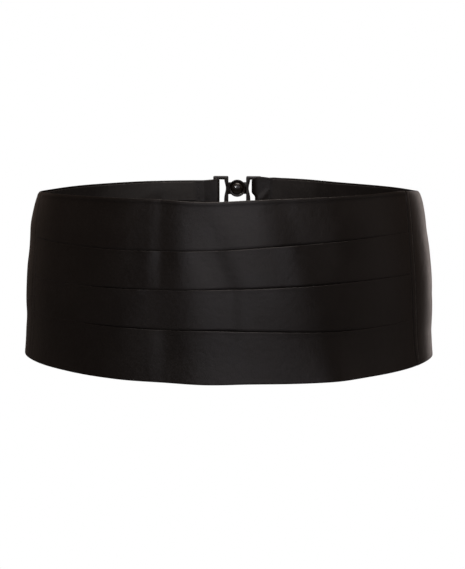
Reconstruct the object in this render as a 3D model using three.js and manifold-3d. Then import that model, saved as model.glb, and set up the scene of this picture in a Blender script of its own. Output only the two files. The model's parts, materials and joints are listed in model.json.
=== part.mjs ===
// A pleated satin cummerbund in the form it has when worn, closed by the clasp at its back.
// Millimetres, +Z up. The origin is the middle of the waist hollow at half the front's height, and the front
// faces -Y. Angles are degrees round the waist from the front's middle, positive towards +X, and 180 at the clasp.
// Offsets are measured outwards from the line on which the pleats and panels lie on their lining.
import * as THREE from "three";
import Module from "manifold-3d";
import { mergeVertices } from "three/addons/utils/BufferGeometryUtils.js";

const wasm = await Module();
wasm.setup();

// The band as a whole
const waistHalfWidth = 135.4;
const waistHalfDepth = 100;
const hemFlareWidth = 10.2;
const hemFlareDepth = 7.5;
const frontHeight = 120;
const dentDepth = 1.4;

// Cloth
const pleatCloth = 1;
const panelCloth = 1.2;
const liningCloth = 1;
const strapCloth = 1;
const clothGap = 0.3;
const liningGap = 0.5;
const edgeRound = 0.5;
const pleatTuck = 7;
const liningBelowTop = 1.2;
const liningAboveHem = 1.6;

// Side seams, where the panels start behind a pressed ridge that bows a little from top to bottom
const seamAngle = 65;
const seamBow = 2.5;
const ridgeWidth = 4.5;
const ridgeCloth = 2.4;

// Straps, from the narrow end of each panel to the clasp
const strapAngle = 152;
const strapHeight = 17;
const leftTabLength = 17;
const rightTabLength = 12;

// Clasp, a ring on the left half and a domed stud on the right half
const claspDrop = 6.6;
const claspInset = 1.6;
const claspShift = -2;
const plateThick = 2.2;
const frameHalfLength = 18.6;
const frameBar = 3;
const frameRail = 2.7;
const frameAbove = 9.4;
const strapTurnSet = 0.4;
const legOuter = 10.2;
const legWaist = 1.4;
const legInner = 6.9;
const ringRadius = 6.6;
const ringBore = 3.7;
const webHalfHeight = 4.6;
const studRadius = 4.4;
const studRise = 2.4;
const postRadius = 3.3;
const runningGap = 0.3;

const halfHeight = frontHeight / 2;
const pleatStep = pleatCloth + clothGap;
const claspHeight = halfHeight - claspDrop;
const claspDepth = waistHalfDepth - claspInset;
const slotTop = frameAbove - frameRail;
const strapTop = slotTop - 0.9;
const strapFoot = strapTop - strapHeight;
const slotFoot = strapFoot - clothGap;
const frameBelow = slotFoot - frameRail;
const barInner = frameHalfLength - frameBar;

// Outward flare of the wall, as a share of the hem's flare, by the share of the height below the top edge
const flareRows = [
  { down: 0, out: 0 },
  { down: 0.16, out: 0.32 },
  { down: 0.35, out: 0.58 },
  { down: 0.46, out: 0.71 },
  { down: 0.62, out: 0.81 },
  { down: 0.85, out: 0.87 },
  { down: 1, out: 1 },
];

// Top edge and hem round the waist: how far each lies above its level, as shares of the front's height
const rimRows = [
  { angle: -180, top: -0.004, hem: 0.036 },
  { angle: -150, top: -0.005, hem: 0.036 },
  { angle: -125, top: -0.014, hem: 0.036 },
  { angle: -100, top: -0.018, hem: 0.036 },
  { angle: -80, top: -0.01, hem: 0.031 },
  { angle: -60, top: 0.001, hem: 0.023 },
  { angle: -40, top: 0.006, hem: 0.014 },
  { angle: -17, top: 0.005, hem: 0.005 },
  { angle: -2, top: -0.005, hem: -0.001 },
  { angle: 10, top: 0.005, hem: 0.007 },
  { angle: 30, top: 0.014, hem: 0.01 },
  { angle: 45, top: 0.021, hem: 0.016 },
  { angle: 60, top: 0.025, hem: 0.023 },
  { angle: 80, top: 0.008, hem: 0.032 },
  { angle: 100, top: -0.008, hem: 0.036 },
  { angle: 125, top: -0.01, hem: 0.036 },
  { angle: 145, top: -0.003, hem: 0.036 },
  { angle: 160, top: 0.011, hem: 0.036 },
  { angle: 180, top: 0.018, hem: 0.036 },
];

// Top edges of the second, third and fourth pleats above half height, as shares of the front's height
const pleatRows = [
  { angle: -65, second: 0.238, third: 0.012, fourth: -0.194 },
  { angle: -40, second: 0.225, third: 0.008, fourth: -0.202 },
  { angle: -15, second: 0.222, third: 0.009, fourth: -0.211 },
  { angle: 0, second: 0.23, third: 0.018, fourth: -0.206 },
  { angle: 15, second: 0.249, third: 0.027, fourth: -0.212 },
  { angle: 35, second: 0.27, third: 0.041, fourth: -0.223 },
  { angle: 50, second: 0.286, third: 0.052, fourth: -0.216 },
  { angle: 65, second: 0.29, third: 0.054, fourth: -0.206 },
];

// How far the hem has risen from its own level to the strap's foot
const taperRows = [
  { angle: 98, rise: 0 },
  { angle: 112, rise: 0.1 },
  { angle: 124, rise: 0.34 },
  { angle: 136, rise: 0.68 },
  { angle: 146, rise: 0.92 },
  { angle: 154, rise: 1 },
];

// Soft upright dents and swellings of the whole wall, as shares of the dent depth, with their half widths
const dentRows = [
  { angle: -128, spread: 10, depth: 0.6 },
  { angle: -104, spread: 9, depth: -0.5 },
  { angle: -74, spread: 8, depth: 0.4 },
  { angle: -47, spread: 9, depth: -0.5 },
  { angle: -19, spread: 8, depth: -0.9 },
  { angle: 2, spread: 10, depth: 0.5 },
  { angle: 27, spread: 8, depth: -0.9 },
  { angle: 47, spread: 9, depth: 0.4 },
  { angle: 84, spread: 9, depth: 0.4 },
  { angle: 104, spread: 9, depth: -0.5 },
  { angle: 131, spread: 10, depth: 0.5 },
];

// A smooth curve through one column of a table
function columnAt(rows, key, column, at) {
  const last = rows.length - 1;
  if (at <= rows[0][key]) return rows[0][column];
  if (at >= rows[last][key]) return rows[last][column];
  const i = rows.findIndex((row) => row[key] > at) - 1;
  const slope = (j) => {
    const before = rows[Math.max(j - 1, 0)];
    const after = rows[Math.min(j + 1, last)];
    return (after[column] - before[column]) / (after[key] - before[key]);
  };
  const span = rows[i + 1][key] - rows[i][key];
  const t = (at - rows[i][key]) / span;
  const rise = rows[i + 1][column] - rows[i][column];
  const ease = t * t * (3 - 2 * t);
  const bend = (t ** 3 - 2 * t ** 2 + t) * slope(i) + (t ** 3 - t ** 2) * slope(i + 1);
  return rows[i][column] + rise * ease + bend * span;
}

// How strongly the wall flares at an angle: fully at the front and sides, not at all in the straps
const flareAt = (angle) => 1 - THREE.MathUtils.smoothstep(Math.abs(angle), 110, strapAngle - 4);

// The soft dents, of which none reaches a strap
function dentAt(angle) {
  const sum = dentRows.reduce((total, dent) => {
    const away = (angle - dent.angle) / dent.spread;
    return total + dent.depth * Math.exp(-away * away);
  }, 0);
  return sum * dentDepth;
}

// A point of the wall
function wallPoint(angle, height, offset) {
  const turn = THREE.MathUtils.degToRad(angle);
  const down = THREE.MathUtils.clamp((halfHeight - height) / frontHeight, 0, 1);
  const flare = columnAt(flareRows, "down", "out", down) * flareAt(angle);
  const out = offset + dentAt(angle);
  const halfWidth = waistHalfWidth + hemFlareWidth * flare + out;
  const halfDepth = waistHalfDepth + hemFlareDepth * flare + out;
  return new THREE.Vector3(halfWidth * Math.sin(turn), -halfDepth * Math.cos(turn), height);
}

// Degrees that a length takes up along the waist at an angle
function turnOf(length, angle) {
  const turn = THREE.MathUtils.degToRad(angle);
  return THREE.MathUtils.radToDeg(
    length / Math.hypot(waistHalfWidth * Math.cos(turn), waistHalfDepth * Math.sin(turn)),
  );
}

const topAt = (angle) => halfHeight + frontHeight * columnAt(rimRows, "angle", "top", angle);

function hemAt(angle) {
  const level = -halfHeight + frontHeight * columnAt(rimRows, "angle", "hem", angle);
  const rise = columnAt(taperRows, "angle", "rise", Math.abs(angle));
  return THREE.MathUtils.lerp(level, claspHeight + strapFoot, rise);
}

// The side seam's own angle at a height
function seamAt(height) {
  const share = THREE.MathUtils.clamp(height / halfHeight, -1, 1);
  return seamAngle + seamBow * share * share;
}

// Heights from a foot to a top, with a closer row at each end for the rounded edges
function rowsBetween(foot, top, inner) {
  const steps = inner.map((share) => THREE.MathUtils.lerp(foot + edgeRound, top - edgeRound, share));
  return [foot, ...steps, top];
}

// The shares of a wall's height at which the panels and the lining both have a row, closer where the flare bends
const wallShares = [0, 0.17, 0.42, 0.65, 0.84, 1];

// One pair of a cloth column, pinched where the cloth's edge is rounded
function pairAt(point, foot, top, height, inner, outer) {
  const atEdge = height === foot || height === top;
  const pinch = atEdge ? (outer - inner) * 0.3 : 0;
  return { inner: point(height, inner + pinch), outer: point(height, outer - pinch) };
}

// A closed wall from columns of inner and outer points, each column running from the foot to the top
function wallOf(columns, mirrored = false) {
  const rows = columns[0].length;
  const side = mirrored ? -1 : 1;
  const positions = columns.flat().flatMap(({ inner, outer }) => [
    side * inner.x, inner.y, inner.z, side * outer.x, outer.y, outer.z,
  ]);
  const id = (column, row, face) => (column * rows + row) * 2 + face;
  const index = [];
  const quad = (a, b, c, d) => index.push(...(mirrored ? [c, b, a, d, c, a] : [a, b, c, a, c, d]));
  for (let c = 0; c + 1 < columns.length; c++) {
    for (let r = 0; r + 1 < rows; r++) {
      quad(id(c, r, 1), id(c + 1, r, 1), id(c + 1, r + 1, 1), id(c, r + 1, 1));
      quad(id(c, r, 0), id(c, r + 1, 0), id(c + 1, r + 1, 0), id(c + 1, r, 0));
    }
    quad(id(c, 0, 0), id(c + 1, 0, 0), id(c + 1, 0, 1), id(c, 0, 1));
    quad(id(c, rows - 1, 0), id(c, rows - 1, 1), id(c + 1, rows - 1, 1), id(c + 1, rows - 1, 0));
  }
  const end = columns.length - 1;
  for (let r = 0; r + 1 < rows; r++) {
    quad(id(0, r, 0), id(0, r, 1), id(0, r + 1, 1), id(0, r + 1, 0));
    quad(id(end, r, 1), id(end, r, 0), id(end, r + 1, 0), id(end, r + 1, 1));
  }
  const geometry = new THREE.BufferGeometry();
  geometry.setAttribute("position", new THREE.Float32BufferAttribute(positions, 3));
  geometry.setIndex(index);
  geometry.computeVertexNormals();
  return geometry;
}

const spaced = (from, to, count) =>
  Array.from({ length: count }, (_, i) => THREE.MathUtils.lerp(from, to, i / (count - 1)));

// One pleat: it stands a step out over the tuck of the pleat above it, and falls back before its own tuck
function pleat(above, below) {
  const lineAt = (key, angle) => frontHeight * columnAt(pleatRows, "angle", key, angle);
  const columns = spaced(-1, 1, 33).map((share) => {
    const angle = share * seamAngle;
    const top = above ? lineAt(above, angle) : topAt(angle);
    const fallEnd = below ? lineAt(below, angle) : hemAt(angle);
    const foot = below ? fallEnd - pleatTuck : fallEnd;
    const fallStart = top - pleatTuck;
    const low = below ? fallEnd : foot + pleatTuck;
    const middle = [0, 0.33, 0.67, 1].map((step) => THREE.MathUtils.lerp(low, fallStart, step));
    const point = (height, offset) => {
      const limit = seamAt(height) - turnOf(clothGap / 2, seamAngle);
      return wallPoint(share * limit, height, offset);
    };
    return [foot, foot + edgeRound, ...middle, top - edgeRound, top].map((height) => {
      const fall = THREE.MathUtils.smoothstep(height, fallEnd, fallStart);
      const inner = above ? pleatStep * fall : 0;
      return pairAt(point, foot, top, height, inner, inner + pleatCloth);
    });
  });
  return wallOf(columns);
}

// A side panel, with the pressed ridge along its seam and a hem that rises to the strap
function sidePanel(side) {
  const ridgeTurn = turnOf(ridgeWidth, seamAngle);
  const reach = strapAngle - seamAngle;
  const ridgeShare = ridgeTurn / reach;
  const shares = [0, ridgeShare * 0.1, ridgeShare * 0.85, ridgeShare, ...spaced(ridgeShare, 1, 22).slice(1)];
  const columns = shares.map((share) => {
    const angle = seamAngle + share * reach;
    const top = topAt(side * angle);
    const foot = hemAt(side * angle);
    const onRidge = share > 0 && share < ridgeShare;
    const outer = onRidge ? ridgeCloth : panelCloth;
    const point = (height, offset) => {
      const start = seamAt(height) + turnOf(clothGap / 2, seamAngle);
      const at = THREE.MathUtils.lerp(start, strapAngle - turnOf(clothGap / 2, strapAngle), share);
      const place = wallPoint(side * at, height, offset);
      place.x *= side;
      return place;
    };
    return rowsBetween(foot, top, wallShares).map((height) =>
      pairAt(point, foot, top, height, 0, outer),
    );
  });
  return wallOf(columns, side < 0);
}

// Where a strap's tab ends on the inside, as an angle
function tabEnd(tabLength, side) {
  const along = barInner + tabLength + side * claspShift;
  return THREE.MathUtils.radToDeg(Math.PI - Math.asin(along / waistHalfWidth));
}

// The lining, one cloth all round the inside from the end of one strap's tab to the end of the other's
function lining() {
  const from = -tabEnd(leftTabLength, -1) + turnOf(clothGap, strapAngle);
  const to = tabEnd(rightTabLength, 1) - turnOf(clothGap, strapAngle);
  const columns = spaced(from, to, 81).map((angle) => {
    const top = topAt(angle) - liningBelowTop;
    const foot = hemAt(angle) + liningAboveHem;
    const point = (height, offset) => wallPoint(angle, height, offset);
    return rowsBetween(foot, top, wallShares).map((height) =>
      pairAt(point, foot, top, height, -liningGap - liningCloth, -liningGap),
    );
  });
  return wallOf(columns);
}

// A strap: from the panel along the outside, round the clasp's bar through its slot, and back along the inside
// as a short tab. A puffed strap is gathered in the slot, so that it swells towards the clasp's middle.
function strap(side, tabLength, puff) {
  const centre = side * claspShift;
  const layer = plateThick / 2 + clothGap + strapCloth / 2;
  const noseCentre = centre + barInner + strapTurnSet;
  const flatEnd = centre + frameHalfLength + 1;
  const rimTop = (angle) => topAt(side * angle);
  const slotted = claspHeight + strapTop;
  const stations = [];
  const along = (angle, offset, direction) => {
    const place = wallPoint(side * angle, claspHeight, offset);
    stations.push({
      x: Math.abs(place.x),
      y: place.y,
      outX: direction * Math.sin(THREE.MathUtils.degToRad(angle)),
      outY: -direction * Math.cos(THREE.MathUtils.degToRad(angle)),
      top: rimTop(angle),
    });
  };
  const start = strapAngle + turnOf(clothGap / 2, strapAngle);
  const joinAngle = THREE.MathUtils.radToDeg(Math.PI - Math.asin((flatEnd + 6) / waistHalfWidth));
  const tabAngle = tabEnd(tabLength, side);
  spaced(start, joinAngle, 5).forEach((angle) => along(angle, strapCloth / 2, 1));
  stations.push({ x: flatEnd, y: claspDepth + layer, outX: 0, outY: 1, top: slotted });
  spaced(90, -90, 9).forEach((degrees) => {
    const turn = THREE.MathUtils.degToRad(degrees);
    stations.push({
      x: noseCentre - layer * Math.cos(turn),
      y: claspDepth + layer * Math.sin(turn),
      outX: -Math.cos(turn),
      outY: Math.sin(turn),
      top: slotted,
      puff: puff * Math.cos(turn),
    });
  });
  const tabTop = Math.max(slotted, rimTop(joinAngle));
  stations.push({ x: flatEnd - 1, y: claspDepth - layer, outX: 0, outY: -1, top: tabTop });
  spaced(Math.max(joinAngle, tabAngle + 1), tabAngle, 3).forEach((angle) =>
    along(angle, -liningGap - strapCloth / 2, -1),
  );
  const columns = stations.map(({ x, y, outX, outY, top, puff: swell = 0 }) => {
    const foot = claspHeight + strapFoot;
    return rowsBetween(foot, top, [0, 0.3, 0.42, 0.7, 1]).map((height) => {
      const share = (height - foot) / strapHeight;
      const shift = swell * THREE.MathUtils.smoothstep(share, 0.25, 0.5);
      const point = (z, offset) => new THREE.Vector3(x - shift + outX * offset, y + outY * offset, z);
      return pairAt(point, foot, top, height, -strapCloth / 2, strapCloth / 2);
    });
  });
  return wallOf(columns, side < 0);
}

// A solid for joining and cutting
function solidOf(geometry) {
  const bare = geometry.clone();
  bare.deleteAttribute("normal");
  bare.deleteAttribute("uv");
  const merged = mergeVertices(bare, 1e-4);
  return new wasm.Manifold(
    new wasm.Mesh({
      numProp: 3,
      vertProperties: new Float32Array(merged.attributes.position.array),
      triVerts: new Uint32Array(merged.index.array),
    }),
  );
}

function geometryOf(solid) {
  const { vertProperties, triVerts } = solid.getMesh();
  const geometry = new THREE.BufferGeometry();
  geometry.setAttribute("position", new THREE.BufferAttribute(vertProperties, 3));
  geometry.setIndex(new THREE.BufferAttribute(triVerts, 1));
  geometry.computeVertexNormals();
  return geometry;
}

// A flat plate of the clasp: its outline lies in X and Z, and its thickness is centred on the clasp's depth
function plate(outline, thick = plateThick, back = thick / 2) {
  const geometry = new THREE.ExtrudeGeometry(outline, { depth: thick, bevelEnabled: false, curveSegments: 6 });
  return solidOf(geometry.rotateX(Math.PI / 2).translate(0, back, 0));
}

function rectangle(left, right, foot, top) {
  return new THREE.Shape([
    new THREE.Vector2(left, foot),
    new THREE.Vector2(right, foot),
    new THREE.Vector2(right, top),
    new THREE.Vector2(left, top),
  ]);
}

// A turned piece of the clasp, its axis through the ring's middle, from pairs of radius and height. Heights run
// towards the waist, which is -Y, so the order of the points is turned round to keep the faces outward.
function turned(profile, sides) {
  const points = profile.map(([radius, height]) => new THREE.Vector2(radius, -height)).reverse();
  return solidOf(new THREE.LatheGeometry(points, sides));
}

// One half's frame, to the right of the ring: a bar for the strap, two rails and a leg that is waisted
// beside the ring
function frame() {
  const outline = rectangle(legInner, frameHalfLength, frameBelow, frameAbove);
  const slot = new THREE.Path();
  slot.moveTo(barInner, slotFoot);
  slot.lineTo(barInner, slotTop);
  slot.lineTo(legOuter, slotTop);
  slot.quadraticCurveTo(legOuter, slotTop / 2, legOuter - legWaist, 0);
  slot.quadraticCurveTo(legOuter, slotFoot / 3, legOuter, slotFoot);
  slot.closePath();
  outline.holes.push(slot);
  return plate(outline);
}

// The left half: its frame, and a dished ring joined on by a web
function claspSocket() {
  const rim = plateThick / 2 + 0.4;
  const ring = turned(
    [
      [ringBore, -plateThick / 2],
      [ringRadius - 0.4, -plateThick / 2],
      [ringRadius, -plateThick / 2 + 0.5],
      [ringRadius, rim - 0.7],
      [ringRadius - 0.5, rim],
      [ringRadius - 1.2, rim],
      [studRadius + 0.3, plateThick / 2 - 0.7],
      [ringBore, plateThick / 2 - 0.9],
      [ringBore, -plateThick / 2],
    ],
    32,
  );
  const web = plate(rectangle(ringBore, legInner + 1, -webHalfHeight, webHalfHeight));
  const core = turned([[0, -rim], [ringRadius - 0.6, -rim], [ringRadius - 0.6, rim], [0, rim]], 32);
  return frame().add(web).subtract(core).add(ring).mirror([1, 0, 0]);
}

// The right half: its frame, a tongue behind the ring, and the stud's post and dome through the ring
function claspStud() {
  const face = -plateThick / 2 - runningGap;
  const tongueThick = 1.6;
  const tongue = plate(
    rectangle(-postRadius - 0.6, legInner + 1, -webHalfHeight, webHalfHeight),
    tongueThick,
    -face + tongueThick,
  );
  const step = plate(
    rectangle(legInner, legInner + 1.6, -webHalfHeight, webHalfHeight),
    plateThick + runningGap + tongueThick,
    -face + tongueThick,
  );
  const seat = plateThick / 2 - 0.7 + runningGap;
  const stud = turned(
    [
      [0, face - 0.5],
      [postRadius, face - 0.5],
      [postRadius, seat],
      [studRadius, seat],
      [studRadius, seat + studRise * 0.3],
      [studRadius * 0.88, seat + studRise * 0.68],
      [studRadius * 0.55, seat + studRise * 0.93],
      [0, seat + studRise],
    ],
    32,
  );
  return frame().add(step).add(tongue).add(stud);
}

const satin = { color: 0x0c0b0c, roughness: 0.42, metalness: 0 };
const insideSatin = { color: 0x121112, roughness: 0.46, metalness: 0 };
const gloss = { color: 0x060606, roughness: 0.14, metalness: 0 };

const cummerbund = new THREE.Group();

function addPiece(name, geometry, finish) {
  const piece = new THREE.Mesh(geometry, new THREE.MeshStandardMaterial(finish));
  piece.name = name;
  cummerbund.add(piece);
  return piece;
}

const pleatNames = ["pleat_1_top", "pleat_2", "pleat_3", "pleat_4_bottom"];
const pleatKeys = [null, "second", "third", "fourth", null];
pleatNames.forEach((name, i) => addPiece(name, pleat(pleatKeys[i], pleatKeys[i + 1]), satin));
addPiece("side_panel_left", sidePanel(-1), satin);
addPiece("side_panel_right", sidePanel(1), satin);
addPiece("lining", lining(), insideSatin);
addPiece("strap_left", strap(-1, leftTabLength, 0), satin);
addPiece("strap_right", strap(1, rightTabLength, 2.6), satin);
const claspPlace = new THREE.Vector3(claspShift, claspDepth, claspHeight);
addPiece("clasp_socket", geometryOf(claspSocket()), gloss).position.copy(claspPlace);
addPiece("clasp_stud", geometryOf(claspStud()), gloss).position.copy(claspPlace);

export default cummerbund;
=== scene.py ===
import json
import math

import bmesh
import bpy
import numpy as np
from mathutils import Matrix, Vector

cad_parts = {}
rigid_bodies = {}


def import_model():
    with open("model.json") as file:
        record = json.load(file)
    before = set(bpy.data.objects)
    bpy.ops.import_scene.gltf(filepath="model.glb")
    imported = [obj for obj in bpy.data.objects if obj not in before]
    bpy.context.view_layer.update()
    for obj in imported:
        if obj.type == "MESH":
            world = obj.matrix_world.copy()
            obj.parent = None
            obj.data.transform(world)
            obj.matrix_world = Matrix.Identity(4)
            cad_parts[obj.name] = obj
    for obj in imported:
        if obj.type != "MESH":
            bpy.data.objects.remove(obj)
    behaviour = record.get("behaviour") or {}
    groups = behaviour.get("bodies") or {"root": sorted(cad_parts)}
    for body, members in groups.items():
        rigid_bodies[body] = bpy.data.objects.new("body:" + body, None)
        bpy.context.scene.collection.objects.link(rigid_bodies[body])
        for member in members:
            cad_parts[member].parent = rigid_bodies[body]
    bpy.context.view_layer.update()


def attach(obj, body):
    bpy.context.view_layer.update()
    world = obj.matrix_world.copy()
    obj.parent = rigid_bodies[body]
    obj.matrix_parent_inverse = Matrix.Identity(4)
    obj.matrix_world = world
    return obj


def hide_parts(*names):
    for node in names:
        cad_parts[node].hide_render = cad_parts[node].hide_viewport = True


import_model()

scene = bpy.context.scene
mm = 0.001  # sizes are in millimetres here, and meshes in metres

# The band's and the clasp's sizes, as their solids have them
band = {
    "halfWidth": 135.4, "halfDepth": 100.0, "flareWidth": 10.2, "flareDepth": 7.5, "frontHeight": 120.0,
    "dentDepth": 1.4, "seamAngle": 65.0, "seamBow": 2.5, "strapAngle": 152.0, "flareFade": (110, 148),
    "clothGap": 0.3, "pleatTuck": 7.0, "liningBelowTop": 1.2, "liningAboveHem": 1.6, "foldSteps": 8,
    "sharpFrom": 60.0,
}
pleatCount = 4
clasp = {
    "drop": 6.6, "inset": 1.6, "shift": -2.0, "plateThick": 2.2, "frameHalfLength": 18.6, "frameBar": 3.0,
    "frameRail": 2.7, "frameAbove": 9.4, "strapBelowSlot": 0.9, "slotRound": 0.5, "legOuter": 10.2,
    "legWaist": 1.4, "legWaistSpread": 4.6, "legSteps": 12, "legInner": 6.9, "webHalfHeight": 4.6,
    "webIn": 0.6, "webOut": 1.2, "webSet": 0.05, "webRound": 0.3, "plateRound": 0.42, "cornerRound": 1.1,
    "runningGap": 0.3, "sides": 72, "sharpFrom": 38.0, "weld": 0.000004,
}
strapHeight = 17.0
halfHeight = band["frontHeight"] / 2
halfPlate = clasp["plateThick"] / 2
claspHeight = halfHeight - clasp["drop"]
claspDepth = band["halfDepth"] - clasp["inset"]
slotTop = clasp["frameAbove"] - clasp["frameRail"]
strapFoot = slotTop - clasp["strapBelowSlot"] - strapHeight
slotFoot = strapFoot - band["clothGap"]
frameBelow = slotFoot - clasp["frameRail"]
barInner = clasp["frameHalfLength"] - clasp["frameBar"]

# Share of the height below the top edge, then of the wall's outward flare
flareTable = np.array([
    (0, 0), (0.16, 0.32), (0.35, 0.58), (0.46, 0.71), (0.62, 0.81), (0.85, 0.87), (1, 1),
])

# Angle round the waist, then the top edge and the hem above their levels, as shares of the front's height
rimTable = np.array([
    (-180, -0.004, 0.036), (-150, -0.005, 0.036), (-125, -0.014, 0.036), (-100, -0.018, 0.036),
    (-80, -0.01, 0.031), (-60, 0.001, 0.023), (-40, 0.006, 0.014), (-17, 0.005, 0.005),
    (-2, -0.005, -0.001), (10, 0.005, 0.007), (30, 0.014, 0.01), (45, 0.021, 0.016),
    (60, 0.025, 0.023), (80, 0.008, 0.032), (100, -0.008, 0.036), (125, -0.01, 0.036),
    (145, -0.003, 0.036), (160, 0.011, 0.036), (180, 0.018, 0.036),
])

# Angle, then the top folds of the second, third and fourth pleats above half height, as shares
pleatTable = np.array([
    (-65, 0.238, 0.012, -0.194), (-40, 0.225, 0.008, -0.202), (-15, 0.222, 0.009, -0.211),
    (0, 0.23, 0.018, -0.206), (15, 0.249, 0.027, -0.212), (35, 0.27, 0.041, -0.223),
    (50, 0.286, 0.052, -0.216), (65, 0.29, 0.054, -0.206),
])

# Angle from the front, then how far the hem has risen to the strap's foot
taperTable = np.array([(98, 0), (112, 0.1), (124, 0.34), (136, 0.68), (146, 0.92), (154, 1)])

# Soft dents of the whole height: angle, spread, share of the dent depth
dentTable = [
    (-128, 10, 0.6), (-104, 9, -0.5), (-74, 8, 0.4), (-47, 9, -0.5), (-19, 8, -0.9), (2, 10, 0.5),
    (27, 8, -0.9), (47, 9, 0.4), (84, 9, 0.4), (104, 9, -0.5), (131, 10, 0.5),
]

# Creases of the pleats: pleat from the top, angle at its middle, lean in degrees a millimetre of height,
# spread to the left and right, millimetres outwards at the pleat's top, share of that at its foot
creaseTable = [
    (1, -25.0, 0.0, 8.0, 8.0, 0.5, 1.0),
    (1, -14.4, 0.0, 2.2, 4.0, -0.45, 0.95),
    (1, -1.5, -0.2, 6.0, 4.2, -0.1, 9.0),
    (1, 20.8, -0.1, 5.6, 4.6, -0.9, 0.6),
    (2, -13.9, 0.0, 2.8, 5.4, -1.3, 0.5),
    (2, 1.8, -0.15, 6.0, 4.2, -1.9, 1.1),
    (2, 24.0, -0.08, 5.2, 7.0, 1.0, 1.5),
    (3, -12.6, 0.0, 7.0, 8.0, -1.3, 0.85),
    (3, 4.5, 0.0, 6.0, 3.0, -1.8, 0.8),
    (3, 27.0, -0.06, 9.0, 8.0, 2.1, 1.1),
    (4, -10.6, 0.0, 7.0, 8.2, -1.4, 0.9),
    (4, -13.2, 0.0, 2.4, 3.6, -0.5, 0.2),
    (4, -5.0, 0.0, 5.0, 5.0, 0.3, 1.0),
    (4, 30.0, -0.15, 11.0, 8.5, 2.6, 1.8),
]

# Swells of the sides: angle, spread, height, spread in millimetres, millimetres outwards
swellTable = [
    (90, 24, -2, 30, 0.8), (-92, 22, 36, 6, 0.5), (-92, 22, 18, 9, -0.5), (-92, 22, -29, 7, -0.7),
    (98, 13, 34, 6, -0.45), (98, 13, 20, 6, 0.3), (98, 13, -12, 4, -0.4), (98, 13, -25, 6, 0.25),
    (98, 13, -38, 4, -0.4),
]

# How much of the creases goes on beside the pleats, and how far up and down, in pleats
creaseSpill = {"share": 0.6, "reach": 1.25}

# Inward roll of the top edge: angle, millimetres of a narrow and of a broad roll, and how far down each goes
rollReach = (3, 11)
rollTable = np.array([
    (-180, 0, 0), (-128, 0, 0), (-108, 1.2, 0.6), (-92, 2.2, 1.2), (-76, 1.4, 0.8), (-56, 0, 0), (56, 0, 0),
    (76, 1.2, 0), (92, 2.4, 0), (108, 1.2, 0), (128, 0, 0), (180, 0, 0),
])

# Angle, then how many millimetres the hem hangs below its solid
sagTable = np.array([
    (-180, 0), (-100, 0), (-62, 0.6), (-30, 0.9), (-22, 1.1), (-8, 0.55), (5, 0.55), (20, 1.05), (32, 0.8),
    (62, 0.6), (100, 0), (180, 0),
])


def smooth(at, low, high):
    t = np.clip((at - low) / (high - low), 0, 1)
    return t * t * (3 - 2 * t)


def follow(table, column, at):
    # a smooth curve through one column of a table, by its first column
    keys, values = table[:, 0], table[:, column]
    steps = np.diff(values) / np.diff(keys)
    slopes = np.concatenate([steps[:1], (values[2:] - values[:-2]) / (keys[2:] - keys[:-2]), steps[-1:]])
    at = np.clip(at, keys[0], keys[-1])
    i = np.clip(np.searchsorted(keys, at, side="right") - 1, 0, len(keys) - 2)
    span = keys[i + 1] - keys[i]
    t = (at - keys[i]) / span
    ease = t * t * (3 - 2 * t)
    bend = (t**3 - 2 * t**2 + t) * slopes[i] + (t**3 - t**2) * slopes[i + 1]
    return values[i] + (values[i + 1] - values[i]) * ease + bend * span


def hump(away, spread):
    # one at its middle, and falling softly to nothing on both sides
    return np.exp(-((away / spread) ** 2))


def dentAt(angle):
    return sum(depth * hump(angle - at, spread) for at, spread, depth in dentTable) * band["dentDepth"]


def creaseAt(angle, height, pleat):
    # pleat is the number of the pleat, or 0 for cloth that lies under or beside all four
    down = np.clip((halfHeight - height) / band["frontHeight"], 0, 1) * pleatCount
    total = np.zeros(np.broadcast(angle, height).shape)
    for number, at, lean, left, right, depth, footShare in creaseTable:
        if pleat and number != pleat:
            continue
        along = down - (number - 1)
        away = angle - at - lean * (0.5 - along) * band["frontHeight"] / pleatCount
        shown = 1 + (footShare - 1) * np.clip(along, 0, 1)
        if not pleat:
            shown = shown * np.clip(creaseSpill["reach"] - np.abs(along - 0.5), 0, 1) * creaseSpill["share"]
        total = total + depth * hump(away, np.where(away < 0, left, right)) * shown
    return total


def swellAt(angle, height):
    below = np.clip(topAt(angle) - height, 0, None)
    roll = follow(rollTable, 1, angle) * np.exp(-below / rollReach[0])
    roll = roll + follow(rollTable, 2, angle) * hump(below, rollReach[1])
    return -roll + sum(
        depth * np.exp(-(((angle - at) / wide) ** 2) - ((height - level) / tall) ** 2)
        for at, wide, level, tall, depth in swellTable
    )


def wallPoint(angle, height, offset, pleat=0):
    # a point of the wall in millimetres, offset outwards from the line where the cloth lies on its lining
    turn = np.radians(angle)
    down = np.clip((halfHeight - height) / band["frontHeight"], 0, 1)
    flare = follow(flareTable, 1, down) * (1 - smooth(np.abs(angle), *band["flareFade"]))
    out = offset + dentAt(angle) + creaseAt(angle, height, pleat) + swellAt(angle, height)
    x = (band["halfWidth"] + band["flareWidth"] * flare + out) * np.sin(turn)
    y = -(band["halfDepth"] + band["flareDepth"] * flare + out) * np.cos(turn)
    return np.stack(np.broadcast_arrays(x, y, height), axis=-1)


def turnOf(length, angle):
    # degrees that a length takes up along the waist at an angle
    turn = math.radians(angle)
    radius = math.hypot(band["halfWidth"] * math.cos(turn), band["halfDepth"] * math.sin(turn))
    return math.degrees(length / radius)


def topAt(angle):
    return halfHeight + band["frontHeight"] * follow(rimTable, 1, angle)


def hemAt(angle):
    level = -halfHeight + band["frontHeight"] * follow(rimTable, 2, angle) - follow(sagTable, 1, angle)
    rise = follow(taperTable, 1, np.abs(angle))
    return level + (claspHeight + strapFoot - level) * rise


def seamAt(height):
    return band["seamAngle"] + band["seamBow"] * np.clip(height / halfHeight, -1, 1) ** 2


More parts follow.
